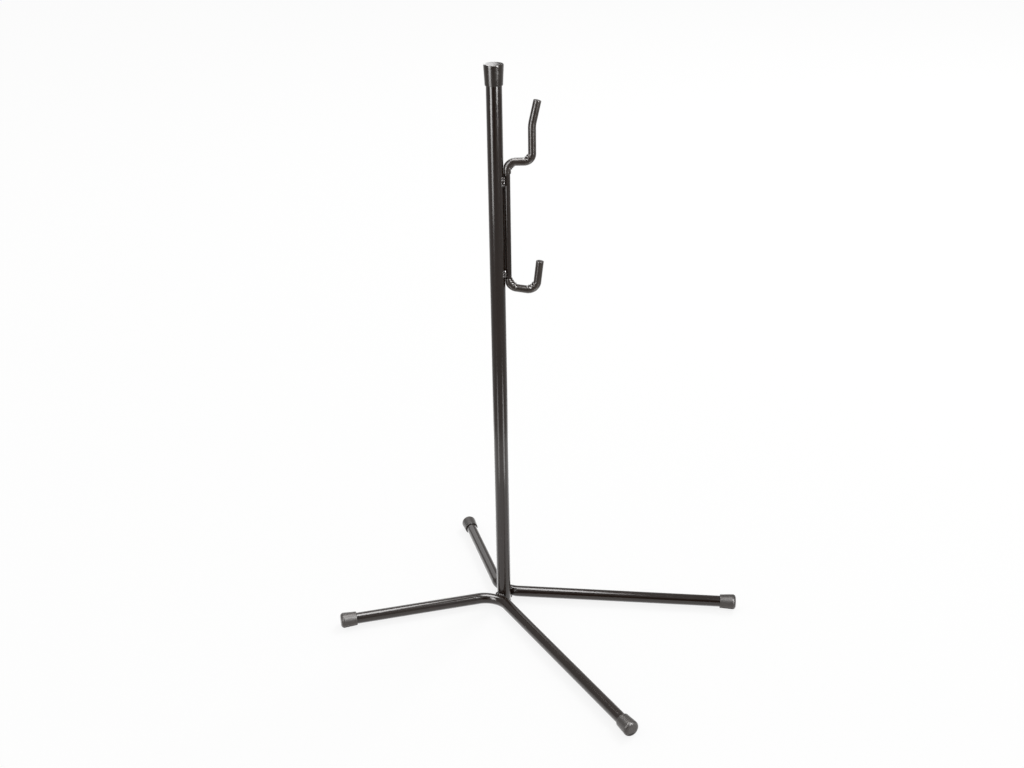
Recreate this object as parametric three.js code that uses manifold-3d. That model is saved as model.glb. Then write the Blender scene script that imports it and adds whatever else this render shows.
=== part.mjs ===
// Floor bike rack: a welded steel stand with two hooks that hold a bicycle by its rear stays.
// Millimetres, +Z up. A round post stands between two bent leg tubes, one hook rod runs down
// the post's right side, and soft caps close the post and the four feet.
// The origin is at floor level under the middle of the rack's outline.
import * as THREE from "three";
import { mergeVertices } from "three/addons/utils/BufferGeometryUtils.js";
import Module from "manifold-3d";

// ---------- driving dimensions ----------

// round stock
const POST_DIAMETER = 16.1;
const LEG_DIAMETER = 12.7;
const ROD_DIAMETER = 6.35;
const POST_WALL = 1.2;
const LEG_WALL = 1.2;

// clearances between pieces
const WELD_GAP = 0.3; // between two pieces that a weld joins, and between a bead and its seat
const CAP_CLEARANCE = 0.3; // cap bore round a tube
const SLEEVE_CLEARANCE = 0.3; // sleeve bore round the rod

// heights above the floor
const RACK_HEIGHT = 626;
const UPPER_SEAT_HEIGHT = 527.7; // middle of the rod under the upper stay
const LOWER_SEAT_HEIGHT = 391.2; // middle of the rod under the lower stay

// leg tubes: each is one tube bent once, with its bend against the post
const LEG_BEND_RADIUS = 30;
const LEG_PRESS = 2.8; // how far the outside of a bend is squeezed in, at its middle
const FRONT_LEG = {
  touchHeading: -122.4, // direction from the post to the bend's middle, degrees from +X
  openHeading: -113.7, // direction the two arms open towards
  armAngle: 104.9, // angle between the arms
  leftTurn: -1, // the left arm lies clockwise of the open heading
  leftArm: 161.8, // from the end of the bend to the outside of the cap
  rightArm: 255.3,
};
const REAR_LEG = {
  touchHeading: 60.5,
  openHeading: 48.6,
  armAngle: 111.8,
  leftTurn: 1,
  leftArm: 144.4,
  rightArm: 253,
};

// upper hook, from its seat up to its flared tip
const HOOK_BEND_RADIUS = 8;
const UPPER_HOOK_REACH = 25.6; // from the rod's upright to the tip's upright
const UPPER_HOOK_UPRIGHT = 37.2; // from the seat to where the tip starts to lean out
const UPPER_TIP_LENGTH = 24.3;
const UPPER_TIP_LEAN = 12.8; // degrees
const UPPER_TIP_BEND_RADIUS = 35;

// lower hook
const LOWER_HOOK_REACH = 28.8;
const LOWER_HOOK_DROP = 5; // the seat falls this much from the upright to the outer bend
const LOWER_TIP_LENGTH = 32.2;
const LOWER_TIP_LEAN = 7; // degrees
const LOWER_BEND_RADIUS = 9.5;

// soft sleeves pushed over both hooks
const SLEEVE_WALL = 0.6;
const SLEEVE_OVERHANG = 0.9; // past the cut end of the rod
const UPPER_SLEEVE_TAIL = 12; // straight below the upper seat's middle
const LOWER_SLEEVE_TAIL = 9.6; // straight above the corner of the lower seat
const FOLD_HEIGHT = 0.8; // of the gathers on the inside of a tight bend
const FOLDS_PER_BEND = 3;

// weld beads
const HOOK_BEAD_RADIUS = 3;
const HOOK_BEAD_TURN = 28; // degrees round the post, from the rod to the bead
const UPPER_BEAD_LENGTH = 13.4;
const LOWER_BEAD_LENGTH = 10.5;
const SLEEVE_TO_BEAD = 0.8; // free rod between a sleeve's end and the nearest bead
const LEG_BEAD_RADIUS = 2.5;
const LEG_BEAD_SPREAD = 64; // degrees round the post
const LEG_BEAD_STANDOFF = 0.45; // of its middle from the post's skin, in bead radii
const LEG_BEAD_SINK = 0.35; // of its middle below the leg tube's crown, in bead radii
const BEAD_PITCH = 0.95; // distance between two ripples, in bead radii

// caps: mouth and end are outer diameters
const TOP_CAP = { mouth: 18.2, end: 20.3, length: 21, endWall: 2.6, endRound: 1.3, lipRound: 0.35 };
const FOOT_CAP = { mouth: 15.5, end: 17.2, length: 18.2, endWall: 3.4, endRound: 3.6, lipRound: 0.4 };

// fineness of the facets
const POST_SIDES = 32;
const LEG_SIDES = 24;
const ROD_SIDES = 16;
const CAP_SIDES = 28;
const ROUND_STEPS = 4;
const LEG_BEND_STEPS = 12;
const ROD_BEND_STEPS = 6;
const FOLD_STEPS = 3; // per gather
const TIP_BEND_STEPS = 3;
const BEAD_AROUND = 10;
const BEAD_ALONG = 6;
const SAME_POINT = 1e-4; // corners closer than this are one

// ---------- sizes that follow ----------

const POST_RADIUS = POST_DIAMETER / 2;
const LEG_RADIUS = LEG_DIAMETER / 2;
const ROD_RADIUS = ROD_DIAMETER / 2;
const LEG_HEIGHT = FOOT_CAP.end / 2; // the caps' widest ring rests on the floor
const POST_BOTTOM = LEG_HEIGHT - LEG_RADIUS; // flush with the underside of the leg tubes
const POST_TOP = RACK_HEIGHT - TOP_CAP.endWall - CAP_CLEARANCE;
const ROD_OFFSET = POST_RADIUS + WELD_GAP + ROD_RADIUS;
const SLEEVE_BORE = ROD_RADIUS + SLEEVE_CLEARANCE;
const SLEEVE_RADIUS = SLEEVE_BORE + SLEEVE_WALL;
const STEEL_GAP_TO_END = FOOT_CAP.endWall + CAP_CLEARANCE; // from a cap's outside to its tube

const radians = THREE.MathUtils.degToRad;

// ---------- materials ----------

function blackMaterial(color, roughness, metalness) {
  return new THREE.MeshStandardMaterial({ color, roughness, metalness });
}

const paintedSteel = () => blackMaterial(0x2b2724, 0.32, 0.35);
const weldSteel = () => blackMaterial(0x2e2a27, 0.4, 0.4);
const capPlastic = () => blackMaterial(0x332f2d, 0.42, 0);
const sleevePlastic = () => blackMaterial(0x36322f, 0.3, 0);

// ---------- solids ----------

const wasm = await Module();
wasm.setup();

// The geometry with shared vertices and nothing but positions, as booleans need it.
function bareGeometry(geometry) {
  const bare = geometry.clone();
  for (const name of Object.keys(bare.attributes)) {
    if (name !== "position") bare.deleteAttribute(name);
  }
  return mergeVertices(bare, SAME_POINT);
}

function toSolid(geometry) {
  const bare = bareGeometry(geometry);
  const mesh = new wasm.Mesh({
    numProp: 3,
    vertProperties: bare.attributes.position.array,
    triVerts: new Uint32Array(bare.index.array),
  });
  return new wasm.Manifold(mesh);
}

function toGeometry(solid) {
  const mesh = solid.getMesh();
  const geometry = new THREE.BufferGeometry();
  geometry.setAttribute("position", new THREE.BufferAttribute(mesh.vertProperties, 3));
  geometry.setIndex(new THREE.BufferAttribute(mesh.triVerts, 1));
  geometry.computeVertexNormals();
  return geometry;
}

// ---------- bent paths ----------

// A path through corner points with a round bend at each inner corner. Its sample points are
// the ends of the straights and a few steps round each bend, so a straight costs one step.
class BentPath extends THREE.Curve {
  constructor(corners, radii, bendSteps) {
    super();
    this.knots = [];
    this.bends = [];
    this.follow(corners, radii, bendSteps);
  }

  follow(corners, radii, bendSteps) {
    const first = corners[1].clone().sub(corners[0]).normalize();
    this.knots.push({ point: corners[0].clone(), tangent: first });
    for (let i = 1; i < corners.length - 1; i++) {
      this.addBend(corners[i - 1], corners[i], corners[i + 1], radii[i - 1], bendSteps[i - 1]);
    }
    const last = corners[corners.length - 1];
    const end = last.clone().sub(corners[corners.length - 2]).normalize();
    this.knots.push({ point: last.clone(), tangent: end });
  }

  addBend(before, corner, after, radius, steps) {
    const incoming = corner.clone().sub(before).normalize();
    const outgoing = after.clone().sub(corner).normalize();
    const turn = incoming.angleTo(outgoing);
    const start = corner.clone().addScaledVector(incoming, -radius * Math.tan(turn / 2));
    const inward = outgoing.clone().addScaledVector(incoming, -outgoing.dot(incoming)).normalize();
    const centre = start.clone().addScaledVector(inward, radius);
    for (let k = 0; k <= steps; k++) {
      const angle = (turn * k) / steps;
      const point = centre
        .clone()
        .addScaledVector(incoming, radius * Math.sin(angle))
        .addScaledVector(inward, -radius * Math.cos(angle));
      const tangent = incoming
        .clone()
        .multiplyScalar(Math.cos(angle))
        .addScaledVector(inward, Math.sin(angle));
      this.knots.push({ point, tangent });
    }
    this.bends.push({ centre, incoming, inward, turn, radius });
  }

  get steps() {
    return this.knots.length - 1;
  }

  knotAt(t) {
    return this.knots[Math.round(t * this.steps)];
  }

  getPoint(t, target = new THREE.Vector3()) {
    return target.copy(this.knotAt(t).point);
  }

  getTangent(t, target = new THREE.Vector3()) {
    return target.copy(this.knotAt(t).tangent);
  }

  getUtoTmapping(u) {
    return u;
  }
}

// Where a point lies about a bend: how far round it, and which way and how far from its centre.
function placeInBend(point, bend) {
  const axis = bend.incoming.clone().cross(bend.inward);
  const out = point.clone().sub(bend.centre).projectOnPlane(axis);
  const share = Math.atan2(out.dot(bend.incoming), -out.dot(bend.inward)) / bend.turn;
  const distance = out.length();
  const inBend = share >= 0 && share <= 1 && distance <= 2 * bend.radius;
  return { inBend, share, distance, direction: out.normalize() };
}

function moveVertices(geometry, move) {
  const position = geometry.attributes.position;
  const vertex = new THREE.Vector3();
  for (let i = 0; i < position.count; i++) {
    move(vertex.fromBufferAttribute(position, i));
    position.setXYZ(i, vertex.x, vertex.y, vertex.z);
  }
  geometry.computeVertexNormals();
  return geometry;
}

function circlePoints(radius, sides) {
  const points = [];
  for (let i = 0; i < sides; i++) {
    const angle = (2 * Math.PI * (i + 0.5)) / sides;
    points.push(new THREE.Vector2(radius * Math.cos(angle), radius * Math.sin(angle)));
  }
  return points;
}

function roundSection(radius, sides, bore = 0) {
  const shape = new THREE.Shape(circlePoints(radius, sides));
  if (bore > 0) shape.holes.push(new THREE.Path(circlePoints(bore, sides)));
  return shape;
}

function sweep(section, path) {
  return new THREE.ExtrudeGeometry(section, { steps: path.steps, extrudePath: path });
}

// ---------- post ----------

function postTube() {
  const section = roundSection(POST_RADIUS, POST_SIDES, POST_RADIUS - POST_WALL);
  const depth = POST_TOP - POST_BOTTOM;
  const geometry = new THREE.ExtrudeGeometry(section, { depth, bevelEnabled: false });
  return geometry.translate(0, 0, POST_BOTTOM);
}

// The post as a cutter, one clearance larger all round.
function postCutter(clearance) {
  const section = roundSection(POST_RADIUS + clearance, POST_SIDES);
  const geometry = new THREE.ExtrudeGeometry(section, { depth: RACK_HEIGHT, bevelEnabled: false });
  return toSolid(geometry);
}

// ---------- leg tubes ----------

function headingVector(degrees) {
  return new THREE.Vector3(Math.cos(radians(degrees)), Math.sin(radians(degrees)), 0);
}

// A bend is squeezed most at its middle, and the post touches it a little to one side.
function pressAtPost(leg) {
  const offMiddle = (leg.touchHeading - leg.openHeading) / (180 - leg.armAngle);
  return LEG_PRESS * Math.cos(Math.PI * offMiddle) ** 2;
}

// Where the straight lines of a leg tube's two arms meet.
function legCorner(leg) {
  const tubeToPost = LEG_RADIUS - pressAtPost(leg) + WELD_GAP;
  const reach = POST_RADIUS + tubeToPost + LEG_BEND_RADIUS;
  const bendCentre = headingVector(leg.touchHeading).multiplyScalar(reach).setZ(LEG_HEIGHT);
  const centreToCorner = -LEG_BEND_RADIUS / Math.sin(radians(leg.armAngle / 2));
  return bendCentre.addScaledVector(headingVector(leg.openHeading), centreToCorner);
}

// A point on an arm's axis, some way in from the outside of its cap. An arm is
// { heading, length }, and its length is counted from the end of the bend.
function pointOnArm(leg, arm, inFromOutside) {
  const bendEnd = LEG_BEND_RADIUS / Math.tan(radians(leg.armAngle / 2));
  const reach = bendEnd + arm.length - inFromOutside;
  return legCorner(leg).addScaledVector(headingVector(arm.heading), reach);
}

function legArms(leg) {
  return {
    left: { heading: leg.openHeading + leg.leftTurn * (leg.armAngle / 2), length: leg.leftArm },
    right: { heading: leg.openHeading - leg.leftTurn * (leg.armAngle / 2), length: leg.rightArm },
  };
}

// One bent tube from the end of one arm to the end of the other.
function legPath(leg) {
  const arms = legArms(leg);
  const corners = [
    pointOnArm(leg, arms.left, STEEL_GAP_TO_END),
    legCorner(leg),
    pointOnArm(leg, arms.right, STEEL_GAP_TO_END),
  ];
  return new BentPath(corners, [LEG_BEND_RADIUS], [LEG_BEND_STEPS]);
}

// Squeezes the outer half of a tube in, as a round tube flattens on the outside of a tight bend.
function pressVertex(vertex, bend) {
  const { inBend, share, distance, direction } = placeInBend(vertex, bend);
  const beyondAxis = distance - bend.radius;
  if (!inBend || beyondAxis <= 0) return;
  const outwardness = beyondAxis / Math.hypot(beyondAxis, vertex.z - bend.centre.z);
  vertex.addScaledVector(direction, -LEG_PRESS * outwardness * Math.sin(Math.PI * share) ** 2);
}

function pressedSweep(section, path) {
  return moveVertices(sweep(section, path), (vertex) => pressVertex(vertex, path.bends[0]));
}

function legTube(path) {
  return pressedSweep(roundSection(LEG_RADIUS, LEG_SIDES, LEG_RADIUS - LEG_WALL), path);
}

function legCutter(path, clearance) {
  return toSolid(pressedSweep(roundSection(LEG_RADIUS + clearance, LEG_SIDES), path));
}

// ---------- hook rod ----------

// Corner points in the plane of the hooks: x from the post's axis, z from the floor.
function atPost(x, z) {
  return new THREE.Vector3(x, 0, z);
}

// The upper hook from its tip down to the corner at the post.
function upperHookCorners(tipLength) {
  const uprightX = ROD_OFFSET + UPPER_HOOK_REACH;
  const leanHeight = UPPER_SEAT_HEIGHT + UPPER_HOOK_UPRIGHT;
  const lean = radians(UPPER_TIP_LEAN);
  return [
    atPost(uprightX + tipLength * Math.sin(lean), leanHeight + tipLength * Math.cos(lean)),
    atPost(uprightX, leanHeight),
    atPost(uprightX, UPPER_SEAT_HEIGHT),
    atPost(ROD_OFFSET, UPPER_SEAT_HEIGHT),
  ];
}

// The lower hook from the corner at the post out to its tip.
function lowerHookCorners(tipLength) {
  const lean = radians(LOWER_TIP_LEAN);
  const outerX = ROD_OFFSET + LOWER_HOOK_REACH;
  const outerZ = LOWER_SEAT_HEIGHT - LOWER_HOOK_DROP / 2;
  return [
    atPost(ROD_OFFSET, LOWER_SEAT_HEIGHT + LOWER_HOOK_DROP / 2),
    atPost(outerX, outerZ),
    atPost(outerX + tipLength * Math.sin(lean), outerZ + tipLength * Math.cos(lean)),
  ];
}

const UPPER_RADII = [UPPER_TIP_BEND_RADIUS, HOOK_BEND_RADIUS, HOOK_BEND_RADIUS];
const LOWER_RADII = [LOWER_BEND_RADIUS, LOWER_BEND_RADIUS];

function hookRod() {
  const corners = [...upperHookCorners(UPPER_TIP_LENGTH), ...lowerHookCorners(LOWER_TIP_LENGTH)];
  const steps = [TIP_BEND_STEPS, ROD_BEND_STEPS, ROD_BEND_STEPS, ROD_BEND_STEPS, ROD_BEND_STEPS];
  const path = new BentPath(corners, [...UPPER_RADII, ...LOWER_RADII], steps);
  return sweep(roundSection(ROD_RADIUS, ROD_SIDES), path);
}

// ---------- sleeves ----------

// Pushes the inside of a tight bend into gathers, as a soft sleeve buckles when it is bent.
function foldVertex(vertex, bend) {
  const { inBend, share, distance, direction } = placeInBend(vertex, bend);
  const insideness = (bend.radius - distance) / SLEEVE_RADIUS;
  if (!inBend || insideness <= 0) return;
  const wave = Math.sin(Math.PI * FOLDS_PER_BEND * share) ** 2;
  vertex.addScaledVector(direction, -FOLD_HEIGHT * wave * insideness);
}

function sleeve(path, tightBends) {
  const tube = sweep(roundSection(SLEEVE_RADIUS, ROD_SIDES, SLEEVE_BORE), path);
  for (const bend of tightBends) {
    moveVertices(tube, (vertex) => foldVertex(vertex, bend));
  }
  return toGeometry(toSolid(tube).subtract(postCutter(WELD_GAP)));
}

function upperSleeve() {
  const corners = upperHookCorners(UPPER_TIP_LENGTH + SLEEVE_OVERHANG);
  corners.push(atPost(ROD_OFFSET, UPPER_SEAT_HEIGHT - UPPER_SLEEVE_TAIL));
  const steps = [TIP_BEND_STEPS, FOLDS_PER_BEND * FOLD_STEPS, FOLDS_PER_BEND * FOLD_STEPS];
  const path = new BentPath(corners, UPPER_RADII, steps);
  return sleeve(path, path.bends.slice(1));
}

function lowerSleeve() {
  const corners = lowerHookCorners(LOWER_TIP_LENGTH + SLEEVE_OVERHANG);
  corners.unshift(atPost(ROD_OFFSET, corners[0].z + LOWER_SLEEVE_TAIL));
  const steps = [FOLDS_PER_BEND * FOLD_STEPS, FOLDS_PER_BEND * FOLD_STEPS];
  const path = new BentPath(corners, LOWER_RADII, steps);
  return sleeve(path, path.bends);
}

// ---------- weld beads ----------

// A row of overlapping drops, as a weld sets in ripples.
function rippledBead(points, radius) {
  let bead = null;
  for (const point of points) {
    const drop = new THREE.SphereGeometry(radius, BEAD_AROUND, BEAD_ALONG);
    const solid = toSolid(drop.translate(point.x, point.y, point.z));
    bead = bead ? bead.add(solid) : solid;
  }
  return bead;
}

function rippleCount(length, radius) {
  return Math.max(2, Math.round(length / (radius * BEAD_PITCH)));
}

// The upright of the hook rod as a cutter, one clearance larger all round.
function uprightCutter(clearance) {
  const radius = ROD_RADIUS + clearance;
  const rod = new THREE.CylinderGeometry(radius, radius, RACK_HEIGHT, ROD_SIDES);
  return toSolid(rod.rotateX(Math.PI / 2).translate(ROD_OFFSET, 0, RACK_HEIGHT / 2));
}

// A straight bead in the groove between the post and the rod, on the front (-1) or rear (+1).
function hookBead(side, lowEnd, length) {
  const count = rippleCount(length, HOOK_BEAD_RADIUS);
  const onPost = headingVector(side * HOOK_BEAD_TURN).multiplyScalar(POST_RADIUS);
  const points = [];
  for (let i = 0; i < count; i++) {
    const z = lowEnd + HOOK_BEAD_RADIUS + ((length - 2 * HOOK_BEAD_RADIUS) * i) / (count - 1);
    points.push(onPost.clone().setZ(z));
  }
  const bead = rippledBead(points, HOOK_BEAD_RADIUS)
    .subtract(postCutter(WELD_GAP))
    .subtract(uprightCutter(WELD_GAP));
  return toGeometry(bead);
}

// A bead round part of the post in the groove above (+1) or below (-1) a leg tube.
function legBead(leg, path, side) {
  const ringRadius = POST_RADIUS + LEG_BEAD_RADIUS * LEG_BEAD_STANDOFF;
  const height = LEG_HEIGHT + side * (LEG_RADIUS - LEG_BEAD_RADIUS * LEG_BEAD_SINK);
  const arcLength = ringRadius * radians(LEG_BEAD_SPREAD);
  const count = rippleCount(arcLength, LEG_BEAD_RADIUS);
  const points = [];
  for (let i = 0; i < count; i++) {
    const heading = leg.touchHeading + LEG_BEAD_SPREAD * (i / (count - 1) - 0.5);
    points.push(headingVector(heading).multiplyScalar(ringRadius).setZ(height));
  }
  const bead = rippledBead(points, LEG_BEAD_RADIUS)
    .subtract(postCutter(WELD_GAP))
    .subtract(legCutter(path, WELD_GAP));
  return toGeometry(bead);
}

// ---------- caps ----------

// A quarter round from one angle to another, as profile points.
function arcPoints(centreX, centreY, radius, fromDegrees, toDegrees) {
  const points = [];
  for (let k = 0; k <= ROUND_STEPS; k++) {
    const angle = radians(fromDegrees + ((toDegrees - fromDegrees) * k) / ROUND_STEPS);
    const x = centreX + radius * Math.cos(angle);
    points.push(new THREE.Vector2(x, centreY + radius * Math.sin(angle)));
  }
  return points;
}

// A tapered cap with a rounded end, open at its mouth. Its axis is Y, its mouth is at 0.
function flaredCap(cap, tubeRadius) {
  const bore = tubeRadius + CAP_CLEARANCE;
  const boreEnd = cap.length - cap.endWall;
  const mouth = cap.mouth / 2;
  const end = cap.end / 2;
  const profile = [
    new THREE.Vector2(0, boreEnd),
    new THREE.Vector2(bore, boreEnd),
    new THREE.Vector2(bore, 0),
    ...arcPoints(mouth - cap.lipRound, cap.lipRound, cap.lipRound, -90, 0),
    ...arcPoints(end - cap.endRound, cap.length - cap.endRound, cap.endRound, 0, 90),
    new THREE.Vector2(0, cap.length),
  ];
  return new THREE.LatheGeometry(profile, CAP_SIDES);
}

// ---------- assembly ----------

const rack = new THREE.Group();

function addPiece(name, geometry, material) {
  const mesh = new THREE.Mesh(geometry, material);
  mesh.name = name;
  rack.add(mesh);
  return mesh;
}

function addTopCap() {
  const cap = addPiece("top_cap", flaredCap(TOP_CAP, POST_RADIUS), capPlastic());
  cap.rotation.x = Math.PI / 2;
  cap.position.z = RACK_HEIGHT - TOP_CAP.length;
}

function addFootCap(name, leg, arm) {
  const lyingCap = flaredCap(FOOT_CAP, LEG_RADIUS).rotateZ(-Math.PI / 2);
  const cap = addPiece(name, lyingCap, capPlastic());
  cap.rotation.z = radians(arm.heading);
  cap.position.copy(pointOnArm(leg, arm, FOOT_CAP.length));
}

function addLeg(prefix, leg, leftCapName, rightCapName) {
  const path = legPath(leg);
  const arms = legArms(leg);
  addPiece(prefix + "_leg_tube", legTube(path), paintedSteel());
  addPiece(prefix + "_leg_weld_top", legBead(leg, path, 1), weldSteel());
  addPiece(prefix + "_leg_weld_bottom", legBead(leg, path, -1), weldSteel());
  addFootCap(leftCapName, leg, arms.left);
  addFootCap(rightCapName, leg, arms.right);
}

function addHookWelds() {
  const upperTop = UPPER_SEAT_HEIGHT - UPPER_SLEEVE_TAIL - SLEEVE_TO_BEAD;
  const lowerBottom = lowerHookCorners(0)[0].z + LOWER_SLEEVE_TAIL + SLEEVE_TO_BEAD;
  const beads = [
    { name: "upper_hook_weld", low: upperTop - UPPER_BEAD_LENGTH, length: UPPER_BEAD_LENGTH },
    { name: "lower_hook_weld", low: lowerBottom, length: LOWER_BEAD_LENGTH },
  ];
  for (const bead of beads) {
    addPiece(bead.name + "_front", hookBead(-1, bead.low, bead.length), weldSteel());
    addPiece(bead.name + "_rear", hookBead(1, bead.low, bead.length), weldSteel());
  }
}

addPiece("post_tube", postTube(), paintedSteel());
addTopCap();
addLeg("front", FRONT_LEG, "left_foot_cap", "front_foot_cap");
addLeg("rear", REAR_LEG, "back_foot_cap", "right_foot_cap");

addPiece("hook_rod", hookRod(), paintedSteel());
addPiece("upper_hook_sleeve", upperSleeve(), sleevePlastic());
addPiece("lower_hook_sleeve", lowerSleeve(), sleevePlastic());
addHookWelds();

// The outline's middle goes over the origin, so the rack stands centred on it.
rack.updateMatrixWorld(true);
const outline = new THREE.Box3().setFromObject(rack, true);
const middle = outline.getCenter(new THREE.Vector3());
rack.position.set(-middle.x, -middle.y, 0);

export default rack;
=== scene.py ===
"""Floor bike rack: smooth painted tubes, a bent hook rod with gathered soft sleeves, weld beads
and moulded caps, on a pale studio floor. Metres, +Z up, hooks towards +X."""

import math
from collections import namedtuple

import bmesh
import bpy
from bpy.props import FloatProperty, FloatVectorProperty, IntProperty, PointerProperty
from mathutils import Matrix, Vector, noise


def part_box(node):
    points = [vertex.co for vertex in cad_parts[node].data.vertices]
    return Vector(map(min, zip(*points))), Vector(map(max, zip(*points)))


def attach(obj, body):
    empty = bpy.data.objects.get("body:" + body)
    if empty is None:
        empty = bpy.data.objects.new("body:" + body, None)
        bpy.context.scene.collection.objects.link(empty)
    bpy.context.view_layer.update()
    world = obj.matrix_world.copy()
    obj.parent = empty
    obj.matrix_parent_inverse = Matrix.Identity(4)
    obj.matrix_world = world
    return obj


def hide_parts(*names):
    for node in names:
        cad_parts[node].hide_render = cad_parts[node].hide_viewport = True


bl_info = {
    "name": "Floor Bike Rack",
    "version": (1, 0, 0),
    "blender": (4, 5, 0),
    "location": "3D View > Sidebar > Bike Rack",
    "description": "A welded floor rack that holds a bicycle by its rear stays",
    "category": "Object",
}

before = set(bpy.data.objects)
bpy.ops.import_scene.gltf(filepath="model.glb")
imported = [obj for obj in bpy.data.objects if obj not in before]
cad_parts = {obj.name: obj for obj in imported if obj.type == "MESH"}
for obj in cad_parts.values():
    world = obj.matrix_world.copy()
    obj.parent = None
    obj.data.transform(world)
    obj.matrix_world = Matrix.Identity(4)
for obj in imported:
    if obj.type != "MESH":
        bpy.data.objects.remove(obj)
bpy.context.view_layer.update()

UP = Vector((0, 0, 1))
POST_LOW, POST_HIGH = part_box("post_tube")
RACK_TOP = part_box("top_cap")[1].z
POST_AXIS = Vector(((POST_LOW.x + POST_HIGH.x) / 2, (POST_LOW.y + POST_HIGH.y) / 2, 0))

# how fine the meshes are
POST_SPACING = 0.02
LEG_BEND_STEPS = 60
ROD_BEND_STEPS = 24
SLEEVE_BEND_STEPS = 42
SLEEVE_SPACING = 0.0012
BEAD_SIDES = 24
BEAD_STEPS = 40
CAP_ROUND_STEPS = 8
LIP_ROUND_STEPS = 4
SAME_POINT = 1e-6
NO_LENGTH = 1e-7
SHARP_EDGE = math.radians(50)  # a bend over this angle keeps a crisp edge
CUT_EDGE = math.radians(60)  # only the rims of cut ends turn more than this

# how the tubes and the rod are cut
POST_END_BEVEL = 0.0002
ROD_END_BEVEL = 0.0005
SLEEVE_END_BEVEL = 0.35  # in sleeve walls
FILLET_STEPS = 3  # of the paint's edge, from its middle to its side

# gathers of a sleeve: 1 is the inside of the bend and -1 its outside
GATHER_WRAP = 0.9  # how far towards the outside the gathers run
GATHER_SPREAD = 0.8  # of their height over the fold height
GATHER_CREST = 0.75  # below 1 the crests are wide and the valleys narrow
GATHER_SLANT = 0.12
GATHER_WANDER = 0.1
GATHER_FADE = 8  # how soon they rise from the ends of the bend
# grain of their unevenness: along and across a bend, from bend to bend, and of the wander
UNEVEN_ALONG, UNEVEN_ACROSS, UNEVEN_BETWEEN, UNEVEN_WANDER = 5, 1.2, 40, 0.7

# weld beads, in bead radii
BEAD_SKIN = 0.97
RIPPLE_PITCH = 0.95
BEAD_END_INSET = 0.35
BEAD_LUMPS = 0.3
# and how they are rippled, blunted and made uneven
RIPPLE_DEPTH = 0.28
RIPPLE_CREST = 0.6
BEAD_END_POWER = 5  # the higher, the blunter the ends
BEAD_END_LEAST = 0.02
BEAD_OVERRUN = 1.1  # a leg bead runs past its spread, because its ends taper
LUMPS_PER_METRE = 450
LUMP_Y, LUMP_Z = -0.6, 0.4  # of a lump's shift along X

# finishes
PATCH_LOW, PATCH_HIGH = 0.3, 0.7  # nearly all of the patch pattern lies between
DULL = 0.9
CARD_BLACK = (0.02, 0.02, 0.02, 1)

# light
WORLD_STRENGTH = 0.8  # of the white all round, where it lights what is dull
FLOOR_WHITENESS = 0.84  # how much of the floor in the picture is plain white
FLOOR_HALF_WIDTH = 9


# ---------- sizes and colours that a user would change ----------


def length_of(name, description, default):
    return FloatProperty(
        name=name, description=description, default=default, unit="LENGTH", subtype="DISTANCE"
    )


def degrees_of(name, description, default):
    return FloatProperty(
        name=name,
        description=description,
        default=math.radians(default),
        unit="ROTATION",
        subtype="ANGLE",
    )


def colour_of(name, description, default):
    return FloatVectorProperty(
        name=name,
        description=description,
        default=default,
        size=3,
        min=0,
        max=1,
        subtype="COLOR",
    )


class RackTubeSizes(bpy.types.PropertyGroup):
    """Stock sizes of the post, legs and hook rod"""

    post_diameter: length_of("Post diameter", "Outside of the upright tube", 0.0161)
    leg_diameter: length_of("Leg diameter", "Outside of the leg tubes", 0.0127)
    tube_wall: length_of("Tube wall", "Wall of the post and leg tubes", 0.0012)
    rod_diameter: length_of("Rod diameter", "Thickness of the hook rod", 0.00635)
    weld_gap: length_of("Weld gap", "Between two pieces that a weld joins", 0.0003)
    fit_gap: length_of("Fit gap", "Between a cap or sleeve and what it covers", 0.0003)
    fillet_width: length_of("Fillet width", "Of the paint between the post and the rod", 0.0022)
    sides: IntProperty(name="Sides", description="Facets round a tube", default=64, min=12)


class RackFrontLeg(bpy.types.PropertyGroup):
    """The tube that makes the left leg and the long front leg"""

    touch_heading: degrees_of("Touch heading", "From the post to the bend's middle", -122.4)
    open_heading: degrees_of("Open heading", "Direction the arms open towards", -113.7)
    arm_angle: degrees_of("Arm angle", "Angle between the arms", 104.9)
    left_arm: length_of("Left arm", "From the bend to the outside of the cap", 0.1618)
    right_arm: length_of("Right arm", "From the bend to the outside of the cap", 0.2553)


class RackRearLeg(bpy.types.PropertyGroup):
    """The tube that makes the short back leg and the long right leg"""

    touch_heading: degrees_of("Touch heading", "From the post to the bend's middle", 60.5)
    open_heading: degrees_of("Open heading", "Direction the arms open towards", 48.6)
    arm_angle: degrees_of("Arm angle", "Angle between the arms", 111.8)
    left_arm: length_of("Left arm", "From the bend to the outside of the cap", 0.1444)
    right_arm: length_of("Right arm", "From the bend to the outside of the cap", 0.253)


class RackLegBend(bpy.types.PropertyGroup):
    """What both leg tubes share"""

    bend_radius: length_of("Bend radius", "Of both leg tubes, to their middle", 0.03)
    press: length_of("Press", "How far the outside of a bend is squeezed in", 0.0028)
    bead_radius: length_of("Bead radius", "Of the welds round the post's foot", 0.0025)
    bead_spread: degrees_of("Bead spread", "Length of each weld round the post", 64)
    bead_standoff: FloatProperty(
        name="Bead standoff", description="From the post's skin, in bead radii", default=0.45
    )
    bead_sink: FloatProperty(
        name="Bead sink", description="Below the leg tube's crown, in bead radii", default=0.35
    )


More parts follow.
